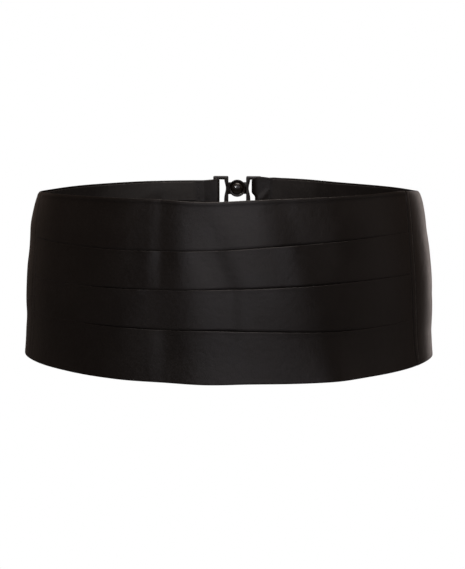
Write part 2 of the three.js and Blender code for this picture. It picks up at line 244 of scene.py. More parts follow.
def foldedSection(heights, inner, outer, edge):
    # a closed cross-section for each column: up the outer face, over the fold and down the inner face
    arc = np.radians(np.linspace(0, 180, band["foldSteps"])[1:-1])
    middle = (inner + outer) / 2
    half = (outer - inner) / 2
    topZ = heights[:, -1:] + edge * np.sin(arc)
    topOut = middle[:, -1:] + half[:, -1:] * np.cos(arc)
    footZ = heights[:, :1] - edge * np.sin(arc)
    footOut = middle[:, :1] - half[:, :1] * np.cos(arc)
    z = np.hstack([heights, topZ, heights[:, ::-1], footZ])
    out = np.hstack([outer, topOut, inner[:, ::-1], footOut])
    return z, out


def clothRows(foot, top, edge, look):
    # heights of the rows between a cloth's folded edges; they may bunch towards its top
    share = np.linspace(0, 1, look["rows"])
    if "rowBunching" in look:
        share = 1 - (1 - share) ** look["rowBunching"]
    low, high = foot + edge, top - edge
    return low + (high - low) * share


def clothMesh(name, points, mirrored=False):
    # closed cross-sections joined into one cloth, with a UV map that is the cloth laid flat, in metres
    columns, ring, _ = points.shape
    if mirrored:
        points = points * np.array((-1, 1, 1))
    along = np.linalg.norm(np.diff(points, axis=0), axis=2).mean(axis=1)
    u = np.concatenate([[0], np.cumsum(along)]) * mm
    closed = np.concatenate([points, points[:, :1]], axis=1)
    steps = np.linalg.norm(np.diff(closed, axis=1), axis=2)
    v = np.concatenate([np.zeros((columns, 1)), np.cumsum(steps, axis=1)], axis=1) * mm
    c, r = np.meshgrid(np.arange(columns - 1), np.arange(ring), indexing="ij")
    corners = [(c, r), (c + 1, r), (c + 1, r + 1), (c, r + 1)]
    faces = np.stack([cc * ring + rr % ring for cc, rr in corners], axis=-1).reshape(-1, 4)
    flat = np.stack([np.stack([u[cc], v[cc, rr]], axis=-1) for cc, rr in corners], axis=-2)
    flat = flat.reshape(-1, 4, 2)
    i = np.arange(ring // 2 - 1)
    other = ring - 1 - i
    cap = np.stack([i + 1, i, other, other - 1], axis=-1)
    faces = np.concatenate([faces, cap, cap[:, ::-1] + (columns - 1) * ring])
    flat = np.concatenate([flat, np.zeros((2 * len(i), 4, 2))])
    if mirrored:
        faces, flat = faces[:, ::-1], flat[:, ::-1]
    mesh = bpy.data.meshes.new(name)
    mesh.from_pydata((points.reshape(-1, 3) * mm).tolist(), [], faces.tolist())
    layer = mesh.uv_layers.new(name="clothFlat")
    layer.data.foreach_set("uv", flat.reshape(-1))
    mesh.shade_smooth()
    mesh.set_sharp_from_angle(angle=math.radians(band["sharpFrom"]))
    return mesh


def addPiece(name, mesh, material=None):
    piece = bpy.data.objects.new(name, mesh)
    scene.collection.objects.link(piece)
    if material is not None:
        piece.data.materials.append(material)
    return piece


clothPieces = {}


def addCloth(name, mesh, solid, material):
    piece = addPiece(name, mesh, material)
    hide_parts(solid)
    clothPieces[name] = piece


def socket(group, name, direction, kind="NodeSocketFloat", value=None):
    made = group.interface.new_socket(name, in_out=direction, socket_type=kind)
    if value is not None:
        made.default_value = value


def fill(tree, target, value):
    # another node's socket is linked, and a constant is set on the socket itself
    if isinstance(value, bpy.types.NodeSocket):
        tree.links.new(value, target)
    elif isinstance(value, tuple):
        target.default_value = (*value, 1)
    else:
        target.default_value = value


def addNode(tree, kind, inputs=None, **settings):
    node = tree.nodes.new(kind)
    for name, value in settings.items():
        setattr(node, name, value)
    for name, value in (inputs or {}).items():
        fill(tree, node.inputs[name], value)
    return node


def mathNode(tree, operation, *terms, clamp=False):
    node = addNode(tree, "ShaderNodeMath", dict(enumerate(terms)), operation=operation, use_clamp=clamp)
    return node.outputs[0]


def rampNode(tree, value, low, high, toLow=0.0, toHigh=1.0):
    inputs = {"Value": value, "From Min": low, "From Max": high, "To Min": toLow, "To Max": toHigh}
    return addNode(tree, "ShaderNodeMapRange", inputs, interpolation_type="SMOOTHSTEP").outputs["Result"]


def noiseNode(tree, place, detail, roughness=0.5, scale=1.0):
    inputs = {"Vector": place, "Scale": scale, "Detail": detail, "Roughness": roughness}
    return addNode(tree, "ShaderNodeTexNoise", inputs).outputs["Fac"]


def inSteps(tree, place, size):
    # a place counted in steps of a size
    inputs = {0: place, "Scale": mathNode(tree, "DIVIDE", 1.0, size)}
    return addNode(tree, "ShaderNodeVectorMath", inputs, operation="SCALE").outputs[0]


def mixColours(tree, share, first, second):
    return addNode(tree, "ShaderNodeMix", {0: share, 6: first, 7: second}, data_type="RGBA").outputs[2]


def shaderGroup(name, place, values, outputs):
    # an empty group for an effect that materials share: a place and numbers in, numbers out
    group = bpy.data.node_groups.new(name, "ShaderNodeTree")
    socket(group, place, "INPUT", "NodeSocketVector")
    for given, value in values.items():
        socket(group, given, "INPUT", value=value)
    for result in outputs:
        socket(group, result, "OUTPUT")
    return group, group.nodes.new("NodeGroupInput").outputs


satinLook = {
    "dark": (0.0052, 0.0040, 0.0036), "light": (0.0072, 0.0057, 0.0051),
    "dustColour": (0.032, 0.029, 0.028),
    "patches": {"Patch Size": 0.03, "Dust": 0.12},
    # thread is the lighter colour that the weave's painted shade gives the raised floats, mixed with a random
    # slub tone
    "smoothest": 0.35, "roughest": 0.41, "thread": (0.0125, 0.0103, 0.0098), "threadShadeAndTone": 0.5,
    "weave": {
        "Thread Pitch": 0.0003, "Float Length": 5.0, "Slub": 0.35, "Weave Depth": 0.000018,
        "Ripple Size": 0.005, "Ripple Depth": 0.00018,
    },
    "bump": {"Strength": 1.0, "Distance": 1.0},
    "sheen": {
        "Anisotropic": 0.55, "Anisotropic Rotation": 0.25, "Specular IOR Level": 0.5,
        "Sheen Weight": 0.05, "Sheen Roughness": 0.35, "Sheen Tint": (1.0, 0.86, 0.8),
    },
}
weaving = {
    "shiftEachThread": 2.0, "floatEdge": 0.55, "slubStretch": (0.02, 0.7), "slubDetail": 2.0,
    "rippleDetail": 5.0, "rippleRoughness": 0.6, "shadeOfHeight": 0.5,
}
handling = {
    "patchDetail": 3.0, "patchRoughness": 0.55, "patchRange": (0.3, 0.7), "speckScale": 26.0,
    "speckDetail": 1.0, "speckRange": (0.64, 0.74),
}


def satinWeaveGroup():
    # Long floats of one thread over the other, each tied down once in its length, in metres on the flat
    # cloth. Its colour output is painted shade, darker in the grooves between threads and lighter on the
    # raised floats, plus a random slub tone.
    group, given = shaderGroup("satinWeave", "Flat", satinLook["weave"], ["Height", "Thread Shade And Tone"])

    def maths(operation, *terms):
        return mathNode(group, operation, *terms)

    flat = addNode(group, "ShaderNodeSeparateXYZ", {0: given["Flat"]}).outputs
    across = maths("DIVIDE", flat["Y"], given["Thread Pitch"])
    along = maths("DIVIDE", flat["X"], given["Thread Pitch"])
    crown = maths("SINE", maths("MULTIPLY", maths("FRACT", across), math.pi))
    shifted = maths("ADD", along, maths("MULTIPLY", maths("FLOOR", across), weaving["shiftEachThread"]))
    phase = maths("FRACT", maths("DIVIDE", shifted, given["Float Length"]))
    floatShape = maths("SINE", maths("MULTIPLY", phase, math.pi))
    height = maths("MULTIPLY", crown, rampNode(group, floatShape, 0.0, weaving["floatEdge"]))
    stretch = {k: maths("MULTIPLY", way, weaving["slubStretch"][k]) for k, way in enumerate((along, across))}
    slubPlace = addNode(group, "ShaderNodeCombineXYZ", stretch).outputs[0]
    uneven = maths("SUBTRACT", noiseNode(group, slubPlace, weaving["slubDetail"]), 0.5)
    slub = maths("MULTIPLY", uneven, given["Slub"])
    ripplePlace = inSteps(group, given["Flat"], given["Ripple Size"])
    ripple = noiseNode(group, ripplePlace, weaving["rippleDetail"], weaving["rippleRoughness"])
    weaveHeight = maths("MULTIPLY", maths("ADD", height, slub), given["Weave Depth"])
    addNode(group, "NodeGroupOutput", {
        "Height": maths("ADD", weaveHeight, maths("MULTIPLY", ripple, given["Ripple Depth"])),
        # painted shade: darker in the grooves between threads and lighter on raised floats, plus the slub's
        # random tone
        "Thread Shade And Tone": maths("ADD", maths("MULTIPLY", height, weaving["shadeOfHeight"]), slub),
    })
    return group


def softPatchesGroup():
    # Soft uneven patches of handling, for tone and gloss, and faint specks of dust
    group, given = shaderGroup("softPatches", "Place", satinLook["patches"], ["Patches", "Dust Mask"])
    place = inSteps(group, given["Place"], given["Patch Size"])
    patches = noiseNode(group, place, handling["patchDetail"], handling["patchRoughness"])
    specks = noiseNode(group, place, handling["speckDetail"], scale=handling["speckScale"])
    dust = rampNode(group, specks, *handling["speckRange"])
    addNode(group, "NodeGroupOutput", {
        "Patches": rampNode(group, patches, *handling["patchRange"]),
        "Dust Mask": mathNode(group, "MULTIPLY", dust, given["Dust"]),
    })
    return group


weaveGroup = satinWeaveGroup()
patchGroup = softPatchesGroup()


def startMaterial(name):
    material = bpy.data.materials.new(name)
    material.use_nodes = True
    tree = material.node_tree
    return material, tree, tree.nodes["Principled BSDF"]


def softMaterial(name, look):
    # two soft tones with faint dust, and the weave of the flat cloth where the look has one
    material, tree, shader = startMaterial(name)
    place = addNode(tree, "ShaderNodeTexCoord").outputs["Object"]
    given = {"Place": place, **look["patches"]}
    patches = addNode(tree, "ShaderNodeGroup", given, node_tree=patchGroup).outputs
    tone = mixColours(tree, patches["Patches"], look["dark"], look["light"])
    relief = patches["Patches"]
    inputs = {"Roughness": rampNode(tree, patches["Patches"], 0.0, 1.0, look["smoothest"], look["roughest"])}
    if "weave" in look:
        given = {"Flat": addNode(tree, "ShaderNodeUVMap", uv_map="clothFlat").outputs[0], **look["weave"]}
        weave = addNode(tree, "ShaderNodeGroup", given, node_tree=weaveGroup).outputs
        # the weave's painted shade between threads, with its random slub tone, mixes the lighter thread
        # colour in
        share = mathNode(tree, "MULTIPLY", weave["Thread Shade And Tone"], look["threadShadeAndTone"], clamp=True)
        tone = mixColours(tree, share, tone, look["thread"])
        relief = weave["Height"]
        tangent = addNode(tree, "ShaderNodeTangent", direction_type="UV_MAP", uv_map="clothFlat")
        inputs.update({"Tangent": tangent.outputs[0], **look["sheen"]})
    if "bump" in look:
        bump = addNode(tree, "ShaderNodeBump", {"Height": relief, **look["bump"]})
        inputs["Normal"] = bump.outputs[0]
    inputs["Base Color"] = mixColours(tree, patches["Dust Mask"], tone, look["dustColour"])
    for target, value in inputs.items():
        fill(tree, shader.inputs[target], value)
    return material


liningLook = {
    **satinLook,
    "patches": {"Patch Size": 0.022, "Dust": 0.12},
    "smoothest": 0.5, "roughest": 0.57,
    "sheen": {**satinLook["sheen"], "Anisotropic": 0.35},
}
threadLook = {
    "dark": (0.006, 0.0055, 0.006), "light": (0.014, 0.013, 0.014), "dustColour": (0.03, 0.03, 0.03),
    "patches": {"Patch Size": 0.0012, "Dust": 0.1},
    "smoothest": 0.45, "roughest": 0.6,
}
plasticLook = {
    "dark": (0.009, 0.0066, 0.0053), "light": (0.013, 0.0098, 0.008), "dustColour": (0.03, 0.03, 0.032),
    "patches": {"Patch Size": 0.004, "Dust": 0.25},
    "smoothest": 0.18, "roughest": 0.25,
    "bump": {"Strength": 0.15, "Distance": 0.00005},
}
satin = softMaterial("satin", satinLook)
liningSatin = softMaterial("liningSatin", liningLook)
sewingThread = softMaterial("sewingThread", threadLook)
claspPlastic = softMaterial("claspPlastic", plasticLook)
print("materials made")


# The four pleats, each a strip that is folded at its top and tucked behind the next one. A puff has its place
# from the edge, its spread and its height.
pleats = {
    "cloth": 0.5, "topCloth": 1.0, "topClothFade": (9, 6), "outer": 1.0, "step": 0.75, "flatStep": 0.06,
    "edge": 0.17, "topEdge": 0.6, "puff": (0.9, 0.8, 0.04), "topPuff": (1.5, 1.1, 0.28),
    "footPuff": (1.2, 1.0, 0.1), "dip": 0.75, "dipFrom": 0.8, "dipTo": 0.2, "dipReach": 1.2,
    "pucker": 0.07, "puckerHeight": 4, "puckerPitch": 3.7, "puckerDrift": (1.4, 13),
    "seamDips": (0.0, 0.25), "seamDipFrom": 0.993, "seamGaps": (0.02, 0.14), "columns": 360, "rows": 44,
    "rowBunching": 1.3,
    "solids": {
        "topPleat": "pleat_1_top",
        "secondPleat": "pleat_2",
        "thirdPleat": "pleat_3",
        "bottomPleat": "pleat_4_bottom",
    },
}

# Angle, then how deep the tucks show there, as a share
pleats["tucks"] = np.array([
    (-65, 0), (-46, 0), (-40, 0.12), (-34, 0.6), (-27, 1), (35, 1), (42, 0.6), (51, 0.2), (65, 0.08),
])


def puffed(fromEdge, puff):
    away, spread, height = puff
    return height * hump(fromEdge - away, spread)


def pleatCloth(i):
    share = np.linspace(-1, 1, pleats["columns"])[:, None]
    angle = share * band["seamAngle"]
    above, below = i > 0, i < pleatCount - 1
    edge = pleats["edge"] if above else pleats["topEdge"]
    top = band["frontHeight"] * follow(pleatTable, i, angle) if above else topAt(angle)
    fallEnd = band["frontHeight"] * follow(pleatTable, i + 1, angle) if below else hemAt(angle)
    foot = fallEnd - band["pleatTuck"] if below else fallEnd
    heights = clothRows(foot, top, edge, pleats)
    tuck = follow(pleats["tucks"], 1, angle)
    outer = pleats["outer"] + 0 * heights
    thick = pleats["cloth"] + 0 * heights
    if above:
        step = pleats["step"] * (pleats["flatStep"] + (1 - pleats["flatStep"]) * tuck)
        outer = outer + step * np.clip((heights - fallEnd) / (top - fallEnd), 0, 1)
        along = np.radians(angle) * band["halfWidth"]
        drift, driftPitch = pleats["puckerDrift"]
        wave = np.sin(along / pleats["puckerPitch"] + drift * np.sin(along / driftPitch + 2 * i) + i)
        outer = outer + pleats["pucker"] * wave * tuck * hump(top - heights, pleats["puckerHeight"])
        outer = outer + puffed(top - heights, pleats["puff"])
    else:
        outer = outer + puffed(top - heights, pleats["topPuff"])
        full, thin = pleats["topClothFade"]
        thick = thick + (pleats["topCloth"] - pleats["cloth"]) * smooth(heights, top - full, top - thin)
    if below:
        reach = fallEnd - pleats["dipTo"] + pleats["dipReach"] * tuck
        outer = outer - pleats["dip"] * (1 - smooth(heights, fallEnd - pleats["dipFrom"], reach))
    else:
        outer = outer + puffed(heights - foot, pleats["footPuff"])
    seamDip = np.where(share < 0, *pleats["seamDips"])
    outer = outer - seamDip * smooth(np.abs(share), pleats["seamDipFrom"], 1)
    z, out = foldedSection(heights, outer - thick, outer, edge)
    seamGap = np.where(share < 0, *pleats["seamGaps"])
    limit = seamAt(z) - seamGap / 2 * turnOf(1, band["seamAngle"])
    return clothMesh("pleat", wallPoint(share * limit, z, out, i + 1))


for i, (name, solid) in enumerate(pleats["solids"].items()):
    addCloth(name, pleatCloth(i), solid, satin)
print("pleats folded")


# The side panels, from a pressed ridge to the straps. Places on the ridge are shares of its width.
panels = {
    "cloth": 0.9, "outer": 1.2,
    "ridges": {-1: -0.08, 1: 0.15},
    "seamDips": {-1: 0.0, 1: 0.35},
    "seamGaps": {-1: 0.02, 1: 0.14},
    "ridgeWidth": 3.4, "ridgeRise": 0.3, "ridgeFall": (0.88, 1.1), "stitchDip": 0.12, "stitchDipAt": 1.25,
    "stitchDipSpread": 0.12, "edge": 0.45, "topPuff": (1.5, 1.1, 0.28), "footPuff": (1.5, 1.2, 0.1),
    "ridgeColumns": 30, "ridgeColumnsTo": 1.6, "columns": 150, "rows": 76,
}


def panelCloth(side):
    reach = band["strapAngle"] - band["seamAngle"]
    ridgeShare = turnOf(panels["ridgeWidth"], band["seamAngle"]) / reach
    ridgeColumns = np.linspace(0, 1, panels["ridgeColumns"]) * ridgeShare * panels["ridgeColumnsTo"]
    rest = np.linspace(ridgeColumns[-1], 1, panels["columns"])[1:]
    share = np.concatenate([ridgeColumns, rest])[:, None]
    angle = band["seamAngle"] + share * reach
    top, foot = topAt(side * angle), hemAt(side * angle)
    heights = clothRows(foot, top, panels["edge"], panels)
    along = share / ridgeShare
    rise = np.sqrt(np.clip(1 - (1 - np.clip(along / panels["ridgeRise"], 0, 1)) ** 2, 0, 1))
    fall = 1 - smooth(along, *panels["ridgeFall"])
    outer = panels["outer"] + panels["ridges"][side] * fall - panels["seamDips"][side] * (1 - rise)
    outer = outer - panels["stitchDip"] * hump(along - panels["stitchDipAt"], panels["stitchDipSpread"])
    outer = outer + 0 * heights
    outer = outer + puffed(top - heights, panels["topPuff"])
    outer = outer + puffed(heights - foot, panels["footPuff"])
    inner = np.minimum(outer - panels["cloth"], panels["outer"] - panels["cloth"])
    z, out = foldedSection(heights, inner, outer, panels["edge"])
    start = seamAt(z) + turnOf(panels["seamGaps"][side] / 2, band["seamAngle"])
    end = band["strapAngle"]
    points = wallPoint(side * (start + (end - start) * share), z, out)
    points[..., 0] *= side
    return clothMesh("sidePanel", points, side < 0)


for side, name, solid in ((-1, "leftPanel", "side_panel_left"), (1, "rightPanel", "side_panel_right")):
    addCloth(name, panelCloth(side), solid, satin)
print("side panels set")


# The straps: along the outside, round the clasp's bar and back as a short tab
straps = {
    "cloth": 0.8, "edge": 0.4, "turnSet": 0.4, "solidCloth": 1.0, "liningGap": 0.5,
    "tabs": {-1: 17.0, 1: 12.0},
    "puffs": {-1: 0.0, 1: 2.6},
    "puffFrom": (0.25, 0.5), "step": 0.5, "finePath": 0.05, "rows": 30, "startAngles": (-1.6, -0.2),
    "startOffset": -0.15, "clearOfPanel": 1.8, "flatPast": 1.0, "joinPast": 6.0, "belowSlotTop": 0.15,
    "crests": {-1: slotTop + 0.9, 1: clasp["frameAbove"] - 0.5},
    "crestPower": 3,
    "tabTops": {-1: 0.0, 1: claspHeight + clasp["frameAbove"] - 0.2},
    "endShare": 0.35, "endRound": (-0.1, 0.9), "gatherFrom": (0.5, 4), "gatherEnds": (0, 6),
    "backStations": 5, "turnStations": 9, "tabStations": 3,
}

# Gathers beside the clasp: distance from the fold at the strap's foot, how much it grows with each
# millimetre of height, spread, depth
straps["gathers"] = {
    -1: [(9.0, 0.1, 3.0, 0.15)],
    1: [(2.4, 0.05, 1.5, 0.3), (1.0, 1.2, 4.0, 0.45), (13.0, 0.6, 4.0, 0.2)],
}


def angleOf(along):
    # the angle at the back of a place that is so far from the middle
    return math.degrees(math.pi - math.asin(along / band["halfWidth"]))


def tabEnd(side):
    return angleOf(barInner + straps["tabs"][side] + side * clasp["shift"])


def strapStations(side):
    # x, y, top and swell of the strap's middle line, as its solid has them
    centre = side * clasp["shift"]
    layer = halfPlate + band["clothGap"] + straps["solidCloth"] / 2
    nose = centre + barInner + straps["turnSet"]
    flatEnd = centre + clasp["frameHalfLength"] + straps["flatPast"]
    slotted = claspHeight + slotTop - straps["belowSlotTop"]
    crestTop = claspHeight + straps["crests"][side]
    join = angleOf(flatEnd + straps["joinPast"])
    tab = tabEnd(side)
    joinTop = float(topAt(np.array(side * join)))
    stations = []

    def along(angle, offset):
        x, y, _ = wallPoint(np.array(side * angle), np.array(claspHeight), offset)
        stations.append((abs(x), y, float(topAt(np.array(side * angle))), 0))

    for past in straps["startAngles"]:
        along(band["strapAngle"] + past, straps["startOffset"])
    for angle in np.linspace(band["strapAngle"] + straps["clearOfPanel"], join, straps["backStations"]):
        along(angle, straps["solidCloth"] / 2)
    stations.append((flatEnd, claspDepth + layer, slotted, 0))
    for turn in np.radians(np.linspace(90, -90, straps["turnStations"])):
        crest = slotted + (crestTop - slotted) * max(0, -math.sin(turn)) ** straps["crestPower"]
        x, y = nose - layer * math.cos(turn), claspDepth + layer * math.sin(turn)
        stations.append((x, y, crest, math.cos(turn)))
    tabTop = max(slotted, joinTop, straps["tabTops"][side])
    stations.append((flatEnd - straps["flatPast"], claspDepth - layer, tabTop, 0))
    for angle in np.linspace(max(join, tab + 1), tab, straps["tabStations"]):
        along(angle, -straps["liningGap"] - straps["solidCloth"] / 2)
    return np.array(stations)


def smoothPath(stations, step):
    # even steps along a smooth curve through the stations
    between = np.linalg.norm(np.diff(stations[:, :2], axis=0), axis=1)
    keys = np.concatenate([[0], np.cumsum(between)])
    fine = np.linspace(0, keys[-1], int(keys[-1] / straps["finePath"]))
    columns = [follow(np.column_stack([keys, column]), 1, fine) for column in stations.T]
    path = np.stack(columns, axis=1)
    length = np.concatenate([[0], np.cumsum(np.linalg.norm(np.diff(path[:, :2], axis=0), axis=1))])
    at = np.linspace(0, length[-1], int(round(length[-1] / step)) + 1)
    return np.stack([np.interp(at, length, column) for column in path.T], axis=1), at


def strapCloth(side):
    path, at = smoothPath(strapStations(side), straps["step"])
    xy, top, swell = path[:, :2], path[:, 2:3], path[:, 3:4]
    tangent = np.gradient(xy, axis=0)
    tangent /= np.linalg.norm(tangent, axis=1)[:, None]
    outward = np.stack([-tangent[:, 1], tangent[:, 0]], axis=1)
    outward *= np.sign(outward[0, 1])
    foot = claspHeight + strapFoot
    heights = clothRows(foot, top, straps["edge"], straps)
    fromNose = np.abs(at - at[np.argmax(swell[:, 0])])[:, None]
    ends = np.minimum(at - at[0], at[-1] - at)[:, None]
    rounded = np.sqrt(smooth((at - at[0])[:, None], *straps["endRound"]))
    thin = straps["endShare"] + (1 - straps["endShare"]) * rounded
    half = straps["cloth"] / 2 * thin + 0 * heights
    lift = sum(
        depth * hump(fromNose - away - lean * (heights - foot), spread)
        for away, lean, spread, depth in straps["gathers"][side]
    )
    lift = lift * smooth(fromNose, *straps["gatherFrom"]) * smooth(ends, *straps["gatherEnds"]) + 0 * heights
    z, out = foldedSection(heights, -half, half, straps["edge"])
    _, lifted = foldedSection(heights, lift, lift, 0)
    shift = straps["puffs"][side] * swell * smooth((z - foot) / strapHeight, *straps["puffFrom"])
    out = out + lifted
    x = xy[:, :1] - shift + outward[:, :1] * out
    y = xy[:, 1:] + outward[:, 1:] * out
    return clothMesh("strap", np.stack([x, y, z], axis=-1)[::-1], side < 0)


for side, name, solid in ((-1, "leftStrap", "strap_left"), (1, "rightStrap", "strap_right")):
    addCloth(name, strapCloth(side), solid, satin)
print("straps turned round the clasp")


# The lining, one cloth from tab to tab, a little short of the edges
lining = {
    "outer": -0.6, "cloth": 0.8, "edge": 0.4, "endGap": 0.02, "columns": 460, "rows": 46,
    "rowBunching": 1.25, "endFade": 5.0, "pucker": 0.12, "puckerPitch": 5.5, "puckerDrift": (1.7, 23),
    "puckerHeight": 5, "bellyBelowTop": (-8, 28), "bellyAboveHem": (0, 12),
}

# Angle, then how far it bellies towards the waist
lining["belly"] = np.array([
    (-180, 0), (-166, 0), (-162, 0.5), (-155, 1.2), (-142, 1.4), (-133, 1), (-125, 0.6), (-90, 0.3), (0, 0.2),
    (90, 0.3), (120, 0.7), (140, 0.8), (150, 1.1), (160, 0.7), (168, 0), (180, 0),
])


def liningCloth():
    endGap, endFade = (turnOf(lining[name], band["strapAngle"]) for name in ("endGap", "endFade"))
    start, end = endGap - tabEnd(-1), tabEnd(1) - endGap
    angle = np.linspace(start, end, lining["columns"])[:, None]
    top = topAt(angle) - band["liningBelowTop"]
    foot = hemAt(angle) + band["liningAboveHem"]
    heights = clothRows(foot, top, lining["edge"], lining)
    along = np.radians(angle) * (band["halfWidth"] + band["halfDepth"]) / 2
    drift, driftPitch = lining["puckerDrift"]
    wave = np.sin(along / lining["puckerPitch"] * 2 * math.pi + drift * np.sin(along / driftPitch))
    near = sum(np.exp(-away / lining["puckerHeight"]) for away in (top - heights, heights - foot))
    ends = smooth(np.minimum(angle - start, end - angle), 0, endFade)
    lift = lining["pucker"] * (0.5 - 0.5 * wave) * near * ends
    belly = ends * follow(lining["belly"], 1, angle) * smooth(top - heights, *lining["bellyBelowTop"])
    outer = lining["outer"] - lift - belly * smooth(heights - foot, *lining["bellyAboveHem"])
    z, out = foldedSection(heights, outer - lining["cloth"], outer, lining["edge"])
    return clothMesh("lining", wallPoint(angle + 0 * z, z, out))


addCloth("innerLining", liningCloth(), "lining", liningSatin)
print("lining set")


def roundedLoop(corners, radius, steps=5, longest=0.45):
    # a closed outline with each corner rounded; a corner may give its own radius as a third number
    count = len(corners)
    loop = []
    for i, corner in enumerate(corners):
        here = Vector(corner[:2])
        before = Vector(corners[i - 1][:2]) - here
        after = Vector(corners[(i + 1) % count][:2]) - here
        own = corner[2] if len(corner) > 2 else radius
        if own <= 0:
            loop.append(here)
            continue
        angle = before.angle(after)
        back = min(own / math.tan(angle / 2), before.length * longest, after.length * longest)
        start, end = here + before.normalized() * back, here + after.normalized() * back
        for k in range(steps + 1):
            t = k / steps
            loop.append((1 - t) ** 2 * start + 2 * t * (1 - t) * here + t**2 * end)
    return loop


def offsetLoop(loop, inset, sharpest=0.5):
    # the outline moved to its left, so a hole is given clockwise
    moved = []
    for i, here in enumerate(loop):
        a = (here - loop[i - 1]).normalized()
        b = (loop[(i + 1) % len(loop)] - here).normalized()
        normal = Vector((-(a.y + b.y), a.x + b.x))
        normal.normalize()
        moved.append(here + normal * inset / max(sharpest, normal.dot(Vector((-a.y, a.x)))))
    return moved


def closedMesh(made, name):
    bmesh.ops.recalc_face_normals(made, faces=made.faces)
    mesh = bpy.data.meshes.new(name)
    made.to_mesh(mesh)
    made.free()
    return mesh


def joinRings(made, first, second):
    # a band of faces between two rings, one of which may be a single point
    count = max(len(first), len(second))
    for i in range(count):
        j = (i + 1) % count
        corners = [loop[k % len(loop)] for loop, k in ((first, i), (first, j), (second, j), (second, i))]
        made.faces.new(list(dict.fromkeys(corners)))


def plateMesh(loops, back, front, edge, bendSteps=5):
    # A moulded plate in X and Z, with rounded edges all round; back and front are its faces along Y
    made = bmesh.new()
    bends = [(math.sin(turn), math.cos(turn)) for turn in np.radians(np.linspace(0, 90, bendSteps))]
    levels = [(front + edge * (1 - c), edge * (1 - s)) for s, c in bends]
    levels += [(back - edge * (1 - s), edge * (1 - c)) for s, c in bends]
    facesAt = {0: [], len(levels) - 1: []}
    for loop in loops:
        rings = []
        for y, inset in levels:
            rings.append([made.verts.new((p.x, y, p.y)) for p in offsetLoop(loop, inset)])
        for first, second in zip(rings, rings[1:]):
            joinRings(made, first, second)
        for level, edges in facesAt.items():
            rim = rings[level]
            for i in range(len(loop)):
                edges.append(made.edges.get((rim[i], rim[(i + 1) % len(loop)])))
    for edges in facesAt.values():
        bmesh.ops.triangle_fill(made, use_beauty=True, use_dissolve=False, edges=edges)
    return closedMesh(made, "plate")


def turnedMesh(profile, sides):
    # a turned piece about the Y axis, from pairs of radius and height towards the waist
    made = bmesh.new()
    rings = []
    turns = [2 * math.pi * i / sides for i in range(sides)]
    for radius, height in profile:
        around = turns if radius > 0 else [0]
        rings.append([made.verts.new((radius * math.cos(a), -height, radius * math.sin(a))) for a in around])
    pairs = list(zip(rings, rings[1:]))
    if len(rings[0]) > 1 and len(rings[-1]) > 1:
        pairs.append((rings[-1], rings[0]))
    for first, second in pairs:
        joinRings(made, first, second)
    return closedMesh(made, "turned")


def bakeModifiers(piece):
    graph = bpy.context.evaluated_depsgraph_get()
    graph.update()
    mesh = bpy.data.meshes.new_from_object(piece.evaluated_get(graph), depsgraph=graph)
    piece.modifiers.clear()
    piece.data = mesh


def combine(piece, operation, mesh):
    other = addPiece("part", mesh)
    cut = piece.modifiers.new(operation.lower(), "BOOLEAN")
    cut.operation = operation
    cut.solver = "EXACT"
    cut.object = other
    bpy.context.view_layer.update()
    bakeModifiers(piece)
    bpy.data.objects.remove(other)


def box(left, right, foot, top, radius=0.0):
    return roundedLoop([(left, foot), (right, foot), (right, top), (left, top)], radius)


def claspFrame():
    inner, outer = clasp["legInner"], clasp["frameHalfLength"]
    outline = box(inner, outer, frameBelow, clasp["frameAbove"], clasp["cornerRound"])
    upper, lower = Vector((clasp["legOuter"], slotTop)), Vector((clasp["legOuter"], slotFoot))
    slot = [(barInner, slotFoot), (barInner, slotTop)]
    for k in range(clasp["legSteps"] + 1):  # the leg is waisted beside the ring
        point = upper.lerp(lower, k / clasp["legSteps"])
        dip = math.exp(-((point.y / clasp["legWaistSpread"]) ** 2))
        corner = clasp["slotRound"] if k in (0, clasp["legSteps"]) else 0
        slot.append((point.x - clasp["legWaist"] * dip, point.y, corner))
    slot = roundedLoop(slot, clasp["slotRound"])
    return plateMesh([outline, slot[::-1]], halfPlate, -halfPlate, clasp["plateRound"])


def arcOf(centre, radius, start, end, steps):
    angles = [math.radians(start + (end - start) * k / steps) for k in range(steps + 1)]
    return [(centre[0] + radius[0] * math.cos(a), centre[1] + radius[1] * math.sin(a)) for a in angles]


def finishClasp(piece, mirrored):
    place = Matrix.Translation(Vector((clasp["shift"], claspDepth, claspHeight)) * mm)
    grow = Matrix.Diagonal((-mm if mirrored else mm, mm, mm, 1))
    piece.data.transform(place @ grow)
    if mirrored:
        piece.data.flip_normals()
    made = bmesh.new()
    made.from_mesh(piece.data)
    bmesh.ops.remove_doubles(made, verts=made.verts, dist=clasp["weld"])
    made.to_mesh(piece.data)
    made.free()
    piece.data.materials.clear()
    piece.data.materials.append(claspPlastic)
    piece.data.shade_smooth()
    piece.data.set_sharp_from_angle(angle=math.radians(clasp["sharpFrom"]))


# The stud: a head on a post, carried by a tongue that passes behind the ring
stud = {
    "radius": 4.4, "rise": 2.4, "headEdge": 0.5, "headChamfer": 0.25, "headSteps": 12, "postRadius": 3.3,
    "postInTongue": 0.5, "tongueThick": 1.6, "tonguePastPost": 0.6, "tongueInFrame": 1.0,
    "tongueSet": 0.03, "tongueRound": 1.2, "linkFromLeg": (0.05, 1.65),
}

# The ring: a rim round a dished face with a step at the bore. Pairs are distances outwards from the rim's
# edge, the stud or the bore, and heights above the frame's face.
ring = {
    "radius": 6.6, "bore": 3.7, "boreBevel": 0.3, "backRound": 0.5, "rimRise": 0.4, "rimRound": 0.4,
    "rimTurn": 110,
    "rimFoot": [(-0.65, 0.06), (-0.8, 0.0)],
    "dish": [(0.6, -0.18), (0.35, -0.5), (0.1, -0.66)],
    "boreStep": 0.7,
    "boreEdge": [(0.2, -0.7), (0.0, -0.9)],
    "clearRadius": 5.8, "clearPast": 1.0,
}


